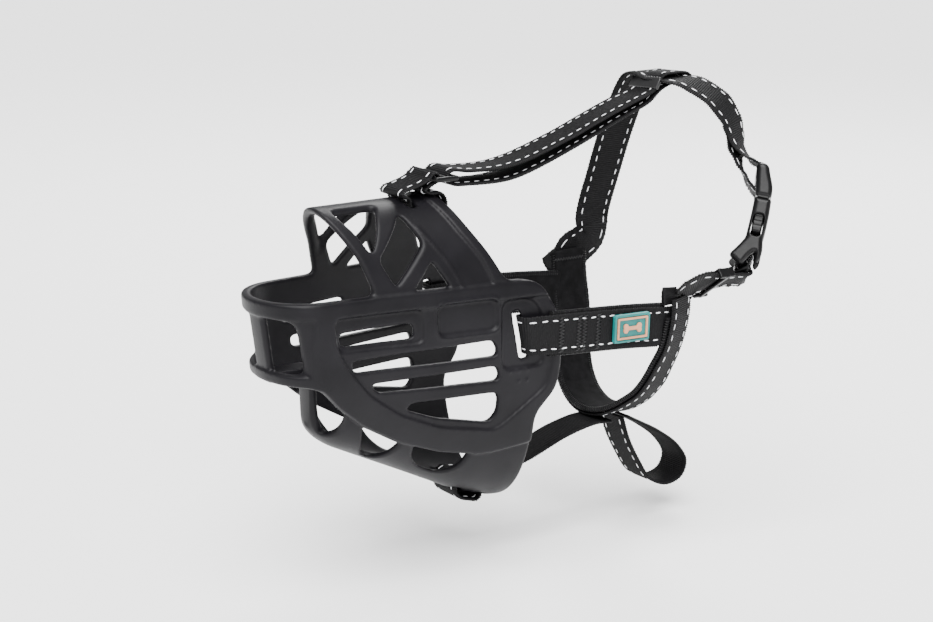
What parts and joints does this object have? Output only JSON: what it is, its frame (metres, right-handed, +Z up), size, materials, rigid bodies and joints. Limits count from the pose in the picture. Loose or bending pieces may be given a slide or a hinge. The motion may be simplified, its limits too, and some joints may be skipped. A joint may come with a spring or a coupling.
{
  "type": "basket dog muzzle",
  "caption": "Moulded basket muzzle for a dog, with an open cage over the nose and a webbing head harness that closes with a side-release buckle.",
  "frame": {"origin": "middle of the snout opening, where the dog's muzzle enters the basket", "axes": "-Y points out past the dog's nose, +Z is up, +X is the dog's left, the side with the buckle and the label"},
  "size_m": [0.1092, 0.2775, 0.2139],
  "materials": {
    "rubber": "satin moulded rubber, charcoal",
    "webbing": "black ribbed webbing with pale reflective stitching",
    "neoprene": "black foam-backed knit, matt",
    "plastic": "black acetal, satin",
    "label_teal": "soft teal rubber, matt",
    "label_cream": "soft cream rubber, matt",
    "thread": "pale reflective yarn of the webbing's stitching"
  },
  "bodies": {
    "muzzle": {"basket": "rubber", "left_cheek_strap": "webbing", "right_cheek_strap": "webbing", "left_cheek_lining": "neoprene", "right_cheek_lining": "neoprene", "throat_strap": "webbing", "throat_lining": "neoprene", "chin_strap": "webbing", "head_strap": "webbing", "short_strap": "webbing", "top_loop": "webbing", "forehead_strap": "webbing", "left_junction_tab": "webbing", "right_junction_tab": "webbing", "buckle_male": "plastic", "forehead_glide": "plastic", "label_patch": "label_teal", "label_frame": "label_cream", "label_bone": "label_cream"},
    "buckle_socket": {"buckle_female": "plastic"},
    "buckle_arm_left": {"buckle_arm_a": "plastic"},
    "buckle_arm_right": {"buckle_arm_b": "plastic"},
    "strap_glide": {"short_glide": "plastic"},
    "collar_tail": {"collar_loop": "webbing"}
  },
  "joints": [
    {"name": "buckle_release", "type": "slide", "parent": "muzzle", "child": "buckle_socket", "axis": [0.16, -0.3759, -0.9128], "range_m": [0, 0.02], "deforming": ["short_strap"]},
    {"name": "arm_squeeze_left", "type": "hinge", "parent": "muzzle", "child": "buckle_arm_left", "pos_m": [0.03335, 0.14834, 0.05608], "axis": [-0.5903, -0.7776, 0.2168], "range_deg": [0, 5], "stiffness_Nm_per_rad": 0.05},
    {"name": "arm_squeeze_right", "type": "hinge", "parent": "muzzle", "child": "buckle_arm_right", "pos_m": [0.04791, 0.13906, 0.06245], "axis": [0.5903, 0.7776, -0.2168], "range_deg": [0, 5], "stiffness_Nm_per_rad": 0.05},
    {"name": "strap_glide_slide", "type": "slide", "parent": "muzzle", "child": "strap_glide", "axis": [-0.0285, 0.9992, -0.0285], "range_m": [-0.004, 0.002]},
    {"name": "collar_swing", "type": "hinge", "parent": "muzzle", "child": "collar_tail", "pos_m": [0, 0.0855, -0.0503], "axis": [1, 0, 0], "range_deg": [-15, 15], "stiffness_Nm_per_rad": 0.05}
  ],
  "couplings": [
    {"joint": "arm_squeeze_right", "follows": "arm_squeeze_left", "ratio": 1}
  ]
}
